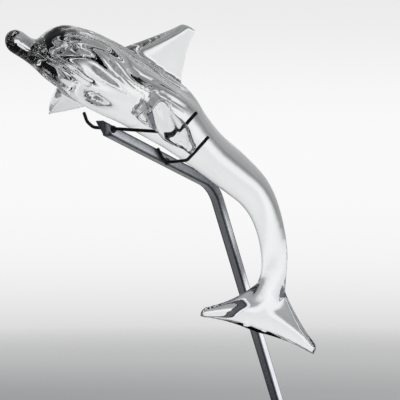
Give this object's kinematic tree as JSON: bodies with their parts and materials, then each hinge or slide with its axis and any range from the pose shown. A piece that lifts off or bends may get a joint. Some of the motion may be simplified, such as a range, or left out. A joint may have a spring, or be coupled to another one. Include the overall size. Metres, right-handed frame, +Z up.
{
  "type": "crystal figurine on stand",
  "caption": "Leaping dolphin in clear solid crystal, resting in bent wire cradles at the top of a cranked square steel bar on a flat base.",
  "frame": {"origin": "centre of the underside of the felt under the base plate", "axes": "+Z up, the dolphin's head towards -X, its left side towards -Y"},
  "size_m": [0.5195, 0.188, 0.4457],
  "materials": {
    "crystal": "polished clear solid crystal",
    "bar_steel": "cold-drawn, satin, darkened edges",
    "black_rod": "blackened",
    "weld": "blackened weld metal",
    "black_paint": "satin black",
    "felt": "pressed felt"
  },
  "bodies": {
    "stand": {"stand_bar": "bar_steel", "front_cradle": "black_rod", "rear_cradle": "black_rod", "front_weld": "weld", "rear_weld": "weld", "foot_weld": "weld", "base_plate": "black_paint", "base_felt": "felt"},
    "crystal": {"dolphin": "crystal"}
  },
  "joints": [
    {"name": "dolphin_lift", "type": "slide", "parent": "stand", "child": "crystal", "axis": [0, 0, 1], "range_m": [0, 0.08]}
  ]
}
